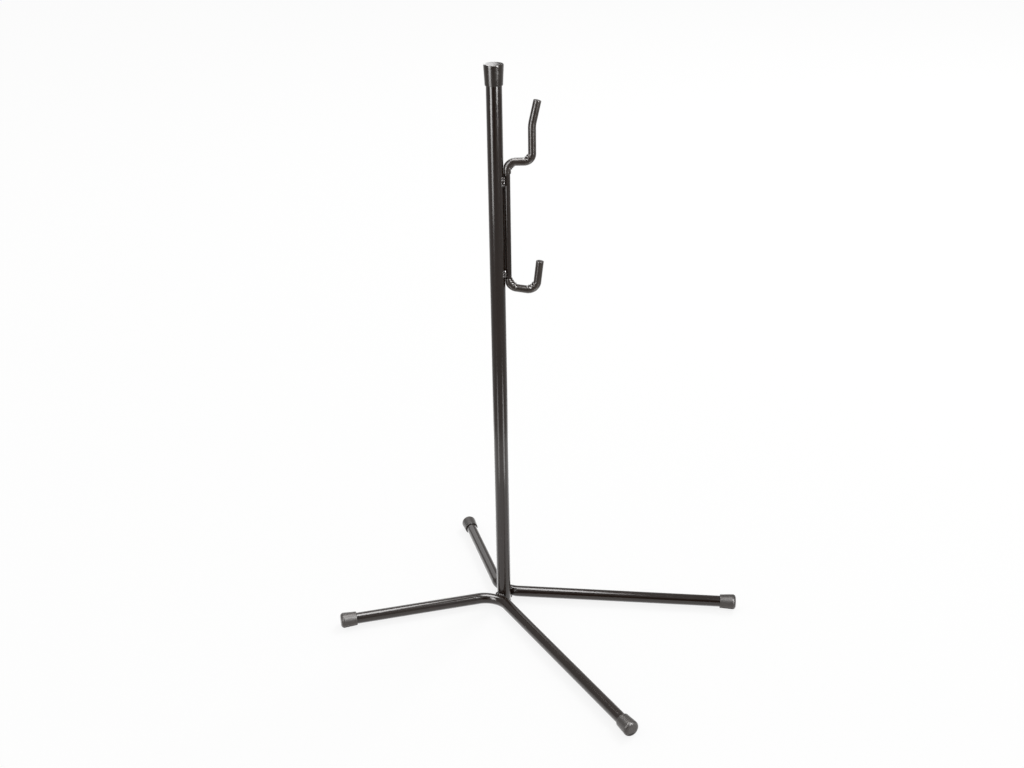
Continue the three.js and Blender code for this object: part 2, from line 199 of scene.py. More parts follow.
class RackHooks(bpy.types.PropertyGroup):
    """The hook rod, its sleeves and its welds"""

    upper_seat: length_of("Upper seat", "Height of the rod under the upper stay", 0.5277)
    upper_reach: length_of("Upper reach", "From the rod's upright to the tip's", 0.0256)
    upper_upright: length_of("Upper upright", "From the seat to the leaning tip", 0.0372)
    upper_tip: length_of("Upper tip", "Length of the leaning tip", 0.0243)
    upper_lean: degrees_of("Upper lean", "Of the tip away from the post", 12.8)
    upper_lean_bend: length_of("Upper lean bend", "Bend radius under the tip", 0.035)
    upper_bend: length_of("Upper bend", "Radius of the two tight bends", 0.008)
    lower_seat: length_of("Lower seat", "Height of the rod under the lower stay", 0.3912)
    lower_reach: length_of("Lower reach", "From the rod's upright to the outer bend", 0.0288)
    lower_drop: length_of("Lower drop", "Fall of the seat towards the outer bend", 0.005)
    lower_tip: length_of("Lower tip", "Length of the leaning tip", 0.0322)
    lower_lean: degrees_of("Lower lean", "Of the tip away from the post", 7)
    lower_bend: length_of("Lower bend", "Radius of the two tight bends", 0.0095)
    sleeve_wall: length_of("Sleeve wall", "Thickness of the soft tubing", 0.0006)
    overhang: length_of("Overhang", "Of a sleeve past the end of the rod", 0.0009)
    upper_tail: length_of("Upper tail", "Of the sleeve below the upper seat", 0.012)
    lower_tail: length_of("Lower tail", "Of the sleeve above the lower seat", 0.0096)
    fold_height: length_of("Fold height", "Least height of the gathers in a bend", 0.0008)
    folds: IntProperty(name="Folds", description="Gathers in each bend", default=3, min=0)
    bead_radius: length_of("Bead radius", "Of the welds beside the rod", 0.003)
    bead_turn: degrees_of("Bead turn", "Round the post, from the rod to the weld", 28)
    bead_gap: length_of("Bead gap", "From a sleeve's end to the weld", 0.0008)
    upper_bead: length_of("Upper bead", "Length of the upper welds", 0.0134)
    lower_bead: length_of("Lower bead", "Length of the lower welds", 0.0105)


class RackCaps(bpy.types.PropertyGroup):
    """The moulded caps on the post and the feet"""

    top_mouth: length_of("Top mouth", "Outer diameter at the top cap's mouth", 0.0182)
    top_end: length_of("Top end", "Outer diameter at the top cap's end", 0.0203)
    top_length: length_of("Top length", "Length of the top cap", 0.021)
    top_wall: length_of("Top wall", "Thickness of the top cap's end", 0.0026)
    top_round: length_of("Top rounding", "Of the top cap's rim", 0.0013)
    foot_mouth: length_of("Foot mouth", "Outer diameter at a foot cap's mouth", 0.0155)
    foot_end: length_of("Foot end", "Outer diameter at a foot cap's end", 0.0172)
    foot_length: length_of("Foot length", "Length of a foot cap", 0.0182)
    foot_wall: length_of("Foot wall", "Thickness of a foot cap's end", 0.0034)
    foot_round: length_of("Foot rounding", "Of a foot cap's rim", 0.0036)
    lip_round: length_of("Lip rounding", "Of every cap's mouth", 0.0004)


class RackColours(bpy.types.PropertyGroup):
    """Finishes of the rack and the studio"""

    paint: colour_of("Paint", "Gloss paint on the steel", (0.015, 0.009, 0.0065))
    cap: colour_of("Cap", "Moulded caps", (0.02, 0.0145, 0.0115))
    sleeve: colour_of("Sleeve", "Soft tubing on the hooks", (0.024, 0.0165, 0.0125))
    floor: colour_of("Floor", "Studio floor", (0.95, 0.95, 0.945))


class RackCamera(bpy.types.PropertyGroup):
    """Where the photograph is taken from"""

    distance: length_of("Distance", "In front of the post", 1.2888)
    height: length_of("Height", "Above the floor", 0.8778)
    pitch: degrees_of("Pitch", "Downward", 24.844)
    pan: degrees_of("Pan", "To the left", -0.587)
    roll: degrees_of("Roll", "Of the camera", 0.901)
    lens: FloatProperty(name="Lens", description="Focal length in millimetres", default=45.94)


class RackSettings(bpy.types.PropertyGroup):
    """All settings of the rack"""

    tubes: PointerProperty(type=RackTubeSizes)
    front_leg: PointerProperty(type=RackFrontLeg)
    rear_leg: PointerProperty(type=RackRearLeg)
    leg_bend: PointerProperty(type=RackLegBend)
    hooks: PointerProperty(type=RackHooks)
    caps: PointerProperty(type=RackCaps)
    colours: PointerProperty(type=RackColours)
    camera: PointerProperty(type=RackCamera)


def settings():
    return bpy.context.scene.bike_rack


# ---------- finishes ----------


def surface_wear_group():
    """Soft patches of duller and glossier surface, and a fine grain for bumps."""
    found = bpy.data.node_groups.get("Surface unevenness")
    if found:
        return found
    group = bpy.data.node_groups.new("Surface unevenness", "ShaderNodeTree")
    sockets = group.interface
    for name, default in (("Patch size", 0.02), ("Grain size", 0.002)):
        socket = sockets.new_socket(name=name, in_out="INPUT", socket_type="NodeSocketFloat")
        socket.default_value = default
    for name in ("Patches", "Grain"):
        sockets.new_socket(name=name, in_out="OUTPUT", socket_type="NodeSocketFloat")
    nodes, links = group.nodes, group.links
    inlet = nodes.new("NodeGroupInput")
    outlet = nodes.new("NodeGroupOutput")
    place = nodes.new("ShaderNodeTexCoord")
    for size, result, detail in (("Patch size", "Patches", 3), ("Grain size", "Grain", 2)):
        frequency = nodes.new("ShaderNodeMath")
        frequency.operation = "DIVIDE"
        frequency.inputs[0].default_value = 1
        links.new(inlet.outputs[size], frequency.inputs[1])
        pattern = nodes.new("ShaderNodeTexNoise")
        pattern.inputs["Detail"].default_value = detail
        links.new(place.outputs["Object"], pattern.inputs["Vector"])
        links.new(frequency.outputs[0], pattern.inputs["Scale"])
        links.new(pattern.outputs["Fac"], outlet.inputs[result])
    return group


def black_finish(name, colour, dull, shiny, patch, grain, grain_depth, lighter=1.25, shine=0.25):
    """A dark finish whose gloss and tone wander a little over the surface.

    Dull and shiny are the two ends of its roughness, and lighter is its palest tone.
    """
    material = bpy.data.materials.get(name)
    if material:
        return material
    material = bpy.data.materials.new(name)
    material.use_nodes = True
    nodes, links = material.node_tree.nodes, material.node_tree.links
    shader = nodes["Principled BSDF"]
    shader.inputs["Specular IOR Level"].default_value = shine
    wear = nodes.new("ShaderNodeGroup")
    wear.node_tree = surface_wear_group()
    wear.inputs["Patch size"].default_value = patch
    wear.inputs["Grain size"].default_value = grain
    gloss = nodes.new("ShaderNodeMapRange")
    gloss.inputs["From Min"].default_value = PATCH_LOW
    gloss.inputs["From Max"].default_value = PATCH_HIGH
    gloss.inputs["To Min"].default_value = shiny
    gloss.inputs["To Max"].default_value = dull
    links.new(wear.outputs["Patches"], gloss.inputs["Value"])
    links.new(gloss.outputs["Result"], shader.inputs["Roughness"])
    tone = nodes.new("ShaderNodeMix")
    tone.data_type = "RGBA"
    tone.inputs["A"].default_value = (*colour, 1)
    tone.inputs["B"].default_value = (*[c * lighter for c in colour], 1)
    links.new(wear.outputs["Patches"], tone.inputs["Factor"])
    links.new(tone.outputs["Result"], shader.inputs["Base Color"])
    bump = nodes.new("ShaderNodeBump")
    bump.inputs["Distance"].default_value = grain_depth
    bump.inputs["Strength"].default_value = 1
    links.new(wear.outputs["Grain"], bump.inputs["Height"])
    links.new(bump.outputs["Normal"], shader.inputs["Normal"])
    return material


def paint_finish():
    return black_finish(
        "Gloss paint",
        settings().colours.paint,
        dull=0.17,
        shiny=0.12,
        patch=0.03,
        grain=0.0022,
        grain_depth=0.000005,
    )


def weld_finish():
    return black_finish(
        "Painted weld",
        settings().colours.paint,
        dull=0.24,
        shiny=0.14,
        patch=0.004,
        grain=0.0012,
        grain_depth=0.00004,
        lighter=1.1,
    )


def cap_finish():
    return black_finish(
        "Moulded cap",
        settings().colours.cap,
        dull=0.26,
        shiny=0.16,
        patch=0.01,
        grain=0.0012,
        grain_depth=0.000001,
    )


def foot_cap_finish():
    return black_finish(
        "Moulded foot cap",
        settings().colours.cap,
        dull=0.5,
        shiny=0.4,
        patch=0.01,
        grain=0.0012,
        grain_depth=0.00001,
        lighter=1.1,
        shine=0.3,
    )


def sleeve_finish():
    return black_finish(
        "Soft tubing",
        settings().colours.sleeve,
        dull=0.3,
        shiny=0.2,
        patch=0.006,
        grain=0.0012,
        grain_depth=0.00003,
        lighter=1.4,
        shine=0.27,
    )


# ---------- making a piece ----------


def keep_piece(name, bm, material, slot, *nodes):
    """The finished mesh becomes a piece that stands for its CAD nodes."""
    bmesh.ops.remove_doubles(bm, verts=bm.verts, dist=SAME_POINT)
    bmesh.ops.recalc_face_normals(bm, faces=bm.faces)
    for face in bm.faces:
        face.smooth = True
    mesh = bpy.data.meshes.new(name)
    bm.to_mesh(mesh)
    bm.free()
    mesh.set_sharp_from_angle(angle=SHARP_EDGE)
    mesh.materials.append(material)
    piece = bpy.data.objects.new(name, mesh)
    bpy.context.scene.collection.objects.link(piece)
    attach(piece, "root")
    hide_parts(*nodes)
    return piece


def parts_of(made, kind):
    return [element for element in made if isinstance(element, kind)]


def start_ring(bm, place, heading, radius, sides):
    """A ring of edges square to a heading."""
    turned = heading.to_track_quat("Z", "Y").to_matrix().to_4x4()
    made = bmesh.ops.create_circle(
        bm, segments=sides, radius=radius, matrix=Matrix.Translation(place) @ turned
    )
    return list({edge for vert in made["verts"] for edge in vert.link_edges})


def run_on(bm, ring, step, count=1):
    """Carries a ring along a straight run."""
    for _ in range(count):
        made = bmesh.ops.extrude_edge_only(bm, edges=ring)["geom"]
        verts = parts_of(made, bmesh.types.BMVert)
        bmesh.ops.translate(bm, verts=verts, vec=step / count)
        moved = set(verts)
        edges = parts_of(made, bmesh.types.BMEdge)
        ring = [edge for edge in edges if all(vert in moved for vert in edge.verts)]
    return ring


def turn_on(bm, ring, centre, axis, angle, steps):
    """Carries a ring round a bend."""
    made = bmesh.ops.spin(
        bm, geom=ring, cent=centre, axis=axis, angle=angle, steps=steps, use_duplicate=False
    )
    return parts_of(made["geom_last"], bmesh.types.BMEdge)


def bends_of(corners, radii):
    """Each bend of a path: where it starts and ends, and what it turns about."""
    bends = []
    for before, corner, after, radius in zip(corners, corners[1:], corners[2:], radii):
        incoming = (corner - before).normalized()
        outgoing = (after - corner).normalized()
        angle = incoming.angle(outgoing)
        reach = radius * math.tan(angle / 2)
        axis = incoming.cross(outgoing).normalized()
        start = corner - incoming * reach
        bends.append(
            {
                "start": start,
                "end": corner + outgoing * reach,
                "centre": start + axis.cross(incoming) * radius,
                "axis": axis,
                "angle": angle,
                "radius": radius,
                "incoming": incoming,
            }
        )
    return bends


def sweep_tube(bm, corners, radii, radius, sides, bend_steps, spacing=None):
    """One skin along a path of straights and round bends. Returns its two end rings."""
    ring = start_ring(bm, corners[0], corners[1] - corners[0], radius, sides)
    first = list(ring)
    here = corners[0]
    for bend in bends_of(corners, radii):
        ring = run_straight(bm, ring, bend["start"] - here, spacing)
        ring = turn_on(bm, ring, bend["centre"], bend["axis"], bend["angle"], bend_steps)
        here = bend["end"]
    ring = run_straight(bm, ring, corners[-1] - here, spacing)
    return first, ring


def run_straight(bm, ring, step, spacing):
    """Carries a ring along a straight in one step, or in steps of about the spacing."""
    if step.length < NO_LENGTH:
        return ring
    count = max(1, round(step.length / spacing)) if spacing else 1
    return run_on(bm, ring, step, count)


def hollow_tube(bm, corners, radii, radius, wall, sides, bend_steps, spacing=None):
    """An outer and an inner skin joined by flat cut ends."""
    outer = sweep_tube(bm, corners, radii, radius, sides, bend_steps, spacing)
    inner = sweep_tube(bm, corners, radii, radius - wall, sides, bend_steps, spacing)
    for outer_end, inner_end in zip(outer, inner):
        bmesh.ops.bridge_loops(bm, edges=outer_end + inner_end)
    return outer, inner


def rims(bm):
    """The edges of cut ends."""
    return [edge for edge in bm.edges if edge.calc_face_angle(0) > CUT_EDGE]


def round_edges(bm, edges, size, segments):
    bmesh.ops.bevel(
        bm,
        geom=list(edges),
        offset=size,
        offset_type="OFFSET",
        affect="EDGES",
        segments=segments,
        profile=0.5,
        material=-1,
    )


def spun_profile(bm, points, sides):
    """A closed body turned about Z from profile points that start and end on the axis."""
    verts = [bm.verts.new((radius, 0, height)) for radius, height in points]
    edges = [bm.edges.new(pair) for pair in zip(verts, verts[1:])]
    bmesh.ops.spin(
        bm,
        geom=verts + edges,
        cent=(0, 0, 0),
        axis=(0, 0, 1),
        angle=math.tau,
        steps=sides,
        use_merge=True,
    )
    bmesh.ops.remove_doubles(bm, verts=bm.verts, dist=NO_LENGTH)


def quarter_round(centre, radius, from_degrees, to_degrees, steps=CAP_ROUND_STEPS):
    """Points of a round on a profile."""
    points = []
    for k in range(steps + 1):
        angle = math.radians(from_degrees + (to_degrees - from_degrees) * k / steps)
        points.append(
            (centre[0] + radius * math.cos(angle), centre[1] + radius * math.sin(angle))
        )
    return points


# ---------- where things are ----------


def heading_vector(angle):
    return Vector((math.cos(angle), math.sin(angle), 0))


def leg_height():
    return settings().caps.foot_end / 2


def press_at_post(leg):
    """A bend is squeezed most at its middle, and the post touches it to one side."""
    off_middle = (leg.touch_heading - leg.open_heading) / (math.pi - leg.arm_angle)
    return settings().leg_bend.press * math.cos(math.pi * off_middle) ** 2


def leg_corner(leg):
    """Where the straight lines of a leg tube's two arms meet."""
    tubes = settings().tubes
    radius = settings().leg_bend.bend_radius
    tube_to_post = tubes.leg_diameter / 2 - press_at_post(leg) + tubes.weld_gap
    reach = tubes.post_diameter / 2 + tube_to_post + radius
    centre = POST_AXIS + heading_vector(leg.touch_heading) * reach + UP * leg_height()
    return centre - heading_vector(leg.open_heading) * (radius / math.sin(leg.arm_angle / 2))


def point_on_arm(leg, heading, length, in_from_outside):
    bend_end = settings().leg_bend.bend_radius / math.tan(leg.arm_angle / 2)
    return leg_corner(leg) + heading_vector(heading) * (bend_end + length - in_from_outside)


def leg_arms(leg, left_turn):
    """Heading and length of the left and the right arm."""
    left = leg.open_heading + left_turn * leg.arm_angle / 2
    right = leg.open_heading - left_turn * leg.arm_angle / 2
    return (left, leg.left_arm), (right, leg.right_arm)


def leg_corners(leg, left_turn):
    inside = settings().caps.foot_wall + settings().tubes.fit_gap
    left, right = leg_arms(leg, left_turn)
    return [
        point_on_arm(leg, *left, inside),
        leg_corner(leg),
        point_on_arm(leg, *right, inside),
    ]


def rod_sides():
    """The rod and its sleeves are thinner than the tubes and need fewer facets."""
    return settings().tubes.sides * 3 // 4


def rod_offset():
    """From the middle of the post to the middle of the rod's upright."""
    tubes = settings().tubes
    return (tubes.post_diameter + tubes.rod_diameter) / 2 + tubes.weld_gap


def at_post(x, z):
    """A point in the plane of the hooks, from the post's foot."""
    return POST_AXIS + Vector((x, 0, z))


def upper_hook_corners(tip):
    """From the tip down to the corner at the post."""
    hooks = settings().hooks
    upright = rod_offset() + hooks.upper_reach
    lean_height = hooks.upper_seat + hooks.upper_upright
    lean = hooks.upper_lean
    return [
        at_post(upright + tip * math.sin(lean), lean_height + tip * math.cos(lean)),
        at_post(upright, lean_height),
        at_post(upright, hooks.upper_seat),
        at_post(rod_offset(), hooks.upper_seat),
    ]


def lower_hook_corners(tip):
    """From the corner at the post out to the tip."""
    hooks = settings().hooks
    outer_x = rod_offset() + hooks.lower_reach
    outer_z = hooks.lower_seat - hooks.lower_drop / 2
    lean = hooks.lower_lean
    return [
        at_post(rod_offset(), hooks.lower_seat + hooks.lower_drop / 2),
        at_post(outer_x, outer_z),
        at_post(outer_x + tip * math.sin(lean), outer_z + tip * math.cos(lean)),
    ]


def upper_radii():
    hooks = settings().hooks
    return [hooks.upper_lean_bend, hooks.upper_bend, hooks.upper_bend]


def lower_radii():
    return [settings().hooks.lower_bend] * 2


# ---------- squeezed and gathered bends ----------


def place_in_bend(point, bend):
    """How far round a bend a point lies, and which way and how far from its centre.

    Nothing when the point is not in the bend.
    """
    out = point - bend["centre"]
    out -= bend["axis"] * out.dot(bend["axis"])
    inward = bend["axis"].cross(bend["incoming"])
    share = math.atan2(out.dot(bend["incoming"]), -out.dot(inward)) / bend["angle"]
    if not 0 < share < 1 or out.length > 2 * bend["radius"]:
        return None
    return share, out.length, out.normalized()


def press_bend(bm, bend):
    """Squeezes the outer half of a tube in, as it flattens on the outside of a tight bend."""
    press = settings().leg_bend.press
    for vert in bm.verts:
        place = place_in_bend(vert.co, bend)
        if not place or place[1] <= bend["radius"]:
            continue
        share, distance, direction = place
        beyond = distance - bend["radius"]
        outwardness = beyond / math.hypot(beyond, vert.co.z - bend["centre"].z)
        vert.co -= direction * press * outwardness * math.sin(math.pi * share) ** 2


def gather_bend(bm, bend, sleeve_radius):
    """Buckles the inside of a tight bend into uneven gathers."""
    hooks = settings().hooks
    for vert in bm.verts:
        place = place_in_bend(vert.co, bend)
        if not place:
            continue
        share, distance, direction = place
        insideness = (bend["radius"] - distance) / sleeve_radius
        reach = (insideness + GATHER_WRAP) / (1 + GATHER_WRAP)
        if reach <= 0:
            continue
        apart = bend["centre"].z * UNEVEN_BETWEEN
        where = Vector((share * UNEVEN_ALONG, insideness * UNEVEN_ACROSS, apart))
        height = hooks.fold_height * (1 + GATHER_SPREAD * (1 + noise.noise(where)))
        slant = GATHER_SLANT * insideness + GATHER_WANDER * noise.noise(where * UNEVEN_WANDER)
        ridge = abs(math.sin(math.pi * (hooks.folds * share + slant))) ** GATHER_CREST
        fade = min(1, GATHER_FADE * share * (1 - share))
        vert.co -= direction * height * ridge * reach * fade


def clear_post(bm):
    """Flattens against the post what would reach into it."""
    tubes = settings().tubes
    nearest = tubes.post_diameter / 2 + tubes.weld_gap
    for vert in bm.verts:
        out = vert.co - POST_AXIS
        out.z = 0
        if out.length < nearest:
            vert.co += out.normalized() * (nearest - out.length)


def sleeve_piece(name, corners, radii, tight_from):
    """A soft tube over the rod, gathered in its bends from the first tight one on."""
    tubes, hooks = settings().tubes, settings().hooks
    wall = hooks.sleeve_wall
    radius = tubes.rod_diameter / 2 + tubes.fit_gap + wall
    bm = bmesh.new()
    hollow_tube(
        bm, corners, radii, radius, wall, rod_sides(), SLEEVE_BEND_STEPS, SLEEVE_SPACING
    )
    for bend in bends_of(corners, radii)[tight_from:]:
        gather_bend(bm, bend, radius)
    round_edges(bm, rims(bm), wall * SLEEVE_END_BEVEL, 2)
    clear_post(bm)
    keep_piece(name, bm, sleeve_finish(), "sleeve_plastic", name)


# ---------- paint between the post and the rod ----------


def paint_fillet(bm, low, high):
    """Paint that fills the groove where the upright of the rod lies along the post."""
    tubes = settings().tubes
    outline = []
    for centre, radius, middle in (
        (0, tubes.post_diameter / 2, 0),
        (rod_offset(), tubes.rod_diameter / 2, math.pi),
    ):
        spread = math.asin(tubes.fillet_width / 2 / radius)
        for k in range(-FILLET_STEPS, FILLET_STEPS + 1):
            angle = middle + spread * k / FILLET_STEPS
            outline.append(Vector((centre + radius * math.cos(angle), radius * math.sin(angle), 0)))
    verts = [bm.verts.new(POST_AXIS + point + UP * low) for point in outline]
    face = bm.faces.new(verts)
    made = bmesh.ops.extrude_face_region(bm, geom=[face])["geom"]
    bmesh.ops.translate(bm, verts=parts_of(made, bmesh.types.BMVert), vec=UP * (high - low))


# ---------- weld beads ----------


def ripple_bead(bm, points, bead_radius, seed):
    """A row of ripples along points, with rounded ends and an uneven skin."""
    radius = bead_radius * BEAD_SKIN
    total = sum((b - a).length for a, b in zip(points, points[1:]))
    run = 0
    rings = []
    for i, point in enumerate(points):
        if i:
            run += (point - points[i - 1]).length
        ahead = points[min(i + 1, len(points) - 1)] - points[max(i - 1, 0)]
        off_middle = abs(2 * run / total - 1)
        end = math.sqrt(max(BEAD_END_LEAST, 1 - off_middle**BEAD_END_POWER))
        crest = abs(math.sin(math.pi * run / (bead_radius * RIPPLE_PITCH))) ** RIPPLE_CREST
        ripple = 1 - RIPPLE_DEPTH * (1 - crest)
        rings.append(start_ring(bm, point, ahead, radius * end * ripple, BEAD_SIDES))
    for ring, next_ring in zip(rings, rings[1:]):
        bmesh.ops.bridge_loops(bm, edges=ring + next_ring)
    for ring in (rings[0], rings[-1]):
        bmesh.ops.contextual_create(bm, geom=ring)
    for vert in bm.verts:
        shift = noise.noise(vert.co * LUMPS_PER_METRE + Vector((seed, 0, 0)))
        vert.co += Vector((shift, shift * LUMP_Y, shift * LUMP_Z)) * radius * BEAD_LUMPS


def hook_bead_piece(name, side, low, length, seed):
    """A bead up the post, beside the rod."""
    tubes, hooks = settings().tubes, settings().hooks
    on_post = heading_vector(side * hooks.bead_turn) * (tubes.post_diameter / 2)
    inset = hooks.bead_radius * BEAD_END_INSET
    points = [
        POST_AXIS + on_post + UP * (low + inset + (length - 2 * inset) * i / BEAD_STEPS)
        for i in range(BEAD_STEPS + 1)
    ]
    bm = bmesh.new()
    ripple_bead(bm, points, hooks.bead_radius, seed)
    keep_piece(name, bm, weld_finish(), "weld_steel", name)


def leg_bead_piece(name, leg, side, seed):
    """A bead round part of the post, over or under the leg tube."""
    tubes, bend = settings().tubes, settings().leg_bend
    ring_radius = tubes.post_diameter / 2 + bend.bead_radius * bend.bead_standoff
    height = leg_height() + side * (tubes.leg_diameter / 2 - bend.bead_radius * bend.bead_sink)
    points = []
    for i in range(BEAD_STEPS + 1):
        heading = leg.touch_heading + bend.bead_spread * BEAD_OVERRUN * (i / BEAD_STEPS - 0.5)
        points.append(POST_AXIS + heading_vector(heading) * ring_radius + UP * height)
    bm = bmesh.new()
    ripple_bead(bm, points, bend.bead_radius, seed)
    keep_piece(name, bm, weld_finish(), "weld_steel", name)


# ---------- caps ----------


def held_straight(start, end, hold=0.0003):
    """Two points just inside a straight, which keep its shading straight up to its ends."""
    start, end = Vector(start), Vector(end)
    step = (end - start).normalized() * hold
    return [start + step, end - step]


def cap_mesh(mouth, end, length, wall, rounding, lip, bore, sides):
    """A tapered cap along Z with its open mouth at 0 and a rounded end."""
    bm = bmesh.new()
    mouth_rim = quarter_round((mouth / 2 - lip, lip), lip, -90, 0, LIP_ROUND_STEPS)
    end_rim = quarter_round((end / 2 - rounding, length - rounding), rounding, 0, 90)
    tip = (0, length)
    profile = [(0, length - wall), (bore, length - wall)]
    profile += quarter_round((bore + lip, lip), lip, 180, 270, LIP_ROUND_STEPS)
    profile += mouth_rim + held_straight(mouth_rim[-1], end_rim[0])
    profile += end_rim + held_straight(end_rim[-1], tip) + [tip]
    spun_profile(bm, profile, sides)
    return bm


def foot_cap_piece(name, leg, heading, length):
    """A cap on the end of a leg's arm, lying along it."""
    tubes, caps = settings().tubes, settings().caps
    bore = tubes.leg_diameter / 2 + tubes.fit_gap
    bm = cap_mesh(
        caps.foot_mouth,
        caps.foot_end,
        caps.foot_length,
        caps.foot_wall,
        caps.foot_round,
        caps.lip_round,
        bore,
        tubes.sides,
    )
    place = point_on_arm(leg, heading, length, caps.foot_length)
    turn = Matrix.Rotation(heading, 4, "Z") @ Matrix.Rotation(math.pi / 2, 4, "Y")
    bmesh.ops.transform(bm, matrix=Matrix.Translation(place) @ turn, verts=bm.verts)
    keep_piece(name, bm, foot_cap_finish(), "cap_plastic", name)


# ---------- operators ----------


class RACK_OT_post(bpy.types.Operator):
    """Make the upright post tube"""

    bl_idname = "rack.post"
    bl_label = "Post"

    def execute(self, context):
        tubes = settings().tubes
        bm = bmesh.new()
        corners = [POST_AXIS + UP * POST_LOW.z, POST_AXIS + UP * POST_HIGH.z]
        radius = tubes.post_diameter / 2
        hollow_tube(bm, corners, [], radius, tubes.tube_wall, tubes.sides, 1, POST_SPACING)
        round_edges(bm, rims(bm), POST_END_BEVEL, 2)
        keep_piece("post_tube", bm, paint_finish(), "painted_steel", "post_tube")
        return {"FINISHED"}


class RACK_OT_legs(bpy.types.Operator):
    """Make the two bent leg tubes"""

    bl_idname = "rack.legs"
    bl_label = "Leg tubes"

    def execute(self, context):
        rack = settings()
        tubes = rack.tubes
        legs = (
            ("front_leg_tube", rack.front_leg, -1),
            ("rear_leg_tube", rack.rear_leg, 1),
        )
        for name, leg, left_turn in legs:
            bm = bmesh.new()
            corners = leg_corners(leg, left_turn)
            radii = [rack.leg_bend.bend_radius]
            radius = tubes.leg_diameter / 2
            hollow_tube(
                bm, corners, radii, radius, tubes.tube_wall, tubes.sides, LEG_BEND_STEPS
            )
            press_bend(bm, bends_of(corners, radii)[0])
            keep_piece(name, bm, paint_finish(), "painted_steel", name)
        return {"FINISHED"}


class RACK_OT_hook_rod(bpy.types.Operator):
    """Make the bent rod of both hooks"""

    bl_idname = "rack.hook_rod"
    bl_label = "Hook rod"

    def execute(self, context):
        tubes, hooks = settings().tubes, settings().hooks
        corners = upper_hook_corners(hooks.upper_tip) + lower_hook_corners(hooks.lower_tip)
        bm = bmesh.new()
        radii = upper_radii() + lower_radii()
        radius = tubes.rod_diameter / 2
        ends = sweep_tube(bm, corners, radii, radius, rod_sides(), ROD_BEND_STEPS)
        for ring in ends:
            bmesh.ops.contextual_create(bm, geom=ring)
        round_edges(bm, rims(bm), ROD_END_BEVEL, 3)
        low = hooks.lower_seat + hooks.lower_drop / 2 + hooks.lower_tail
        paint_fillet(bm, low, hooks.upper_seat - hooks.upper_tail)
        keep_piece("hook_rod", bm, paint_finish(), "painted_steel", "hook_rod")
        return {"FINISHED"}


class RACK_OT_sleeves(bpy.types.Operator):
    """Make the soft sleeves on both hooks"""

    bl_idname = "rack.sleeves"
    bl_label = "Hook sleeves"

    def execute(self, context):
        hooks = settings().hooks
        upper = upper_hook_corners(hooks.upper_tip + hooks.overhang)
        upper.append(at_post(rod_offset(), hooks.upper_seat - hooks.upper_tail))
        sleeve_piece("upper_hook_sleeve", upper, upper_radii(), 1)
        lower = lower_hook_corners(hooks.lower_tip + hooks.overhang)
        lower.insert(0, lower[0] + UP * hooks.lower_tail)
        sleeve_piece("lower_hook_sleeve", lower, lower_radii(), 0)
        return {"FINISHED"}


class RACK_OT_hook_welds(bpy.types.Operator):
    """Make the weld beads beside the hook rod"""

    bl_idname = "rack.hook_welds"
    bl_label = "Hook welds"

    def execute(self, context):
        hooks = settings().hooks
        upper_low = hooks.upper_seat - hooks.upper_tail - hooks.bead_gap - hooks.upper_bead
        lower_corner = hooks.lower_seat + hooks.lower_drop / 2
        lower_low = lower_corner + hooks.lower_tail + hooks.bead_gap
        beads = (
            ("upper_hook_weld_front", -1, upper_low, hooks.upper_bead, 1),
            ("upper_hook_weld_rear", 1, upper_low, hooks.upper_bead, 2),
            ("lower_hook_weld_front", -1, lower_low, hooks.lower_bead, 3),
            ("lower_hook_weld_rear", 1, lower_low, hooks.lower_bead, 4),
        )
        for bead in beads:
            hook_bead_piece(*bead)
        return {"FINISHED"}


class RACK_OT_leg_welds(bpy.types.Operator):
    """Make the weld beads between the post and the leg tubes"""

    bl_idname = "rack.leg_welds"
    bl_label = "Leg welds"

    def execute(self, context):
        rack = settings()
        beads = (
            ("front_leg_weld_top", rack.front_leg, 1, 5),
            ("front_leg_weld_bottom", rack.front_leg, -1, 6),
            ("rear_leg_weld_top", rack.rear_leg, 1, 7),
            ("rear_leg_weld_bottom", rack.rear_leg, -1, 8),
        )
        for bead in beads:
            leg_bead_piece(*bead)
        return {"FINISHED"}


class RACK_OT_top_cap(bpy.types.Operator):
    """Make the flared cap on the post"""

    bl_idname = "rack.top_cap"
    bl_label = "Top cap"

    def execute(self, context):
        tubes, caps = settings().tubes, settings().caps
        bm = cap_mesh(
            caps.top_mouth,
            caps.top_end,
            caps.top_length,
            caps.top_wall,
            caps.top_round,
            caps.lip_round,
            tubes.post_diameter / 2 + tubes.fit_gap,
            tubes.sides,
        )
        place = POST_AXIS + UP * (RACK_TOP - caps.top_length)
        bmesh.ops.translate(bm, verts=bm.verts, vec=place)
        keep_piece("top_cap", bm, cap_finish(), "cap_plastic", "top_cap")
        return {"FINISHED"}


class RACK_OT_foot_caps(bpy.types.Operator):
    """Make the four foot caps"""

    bl_idname = "rack.foot_caps"
    bl_label = "Foot caps"

    def execute(self, context):
        rack = settings()
        front_left, front_right = leg_arms(rack.front_leg, -1)
        rear_left, rear_right = leg_arms(rack.rear_leg, 1)
        foot_cap_piece("left_foot_cap", rack.front_leg, *front_left)
        foot_cap_piece("front_foot_cap", rack.front_leg, *front_right)
        foot_cap_piece("back_foot_cap", rack.rear_leg, *rear_left)
        foot_cap_piece("right_foot_cap", rack.rear_leg, *rear_right)
        return {"FINISHED"}


# ---------- studio ----------


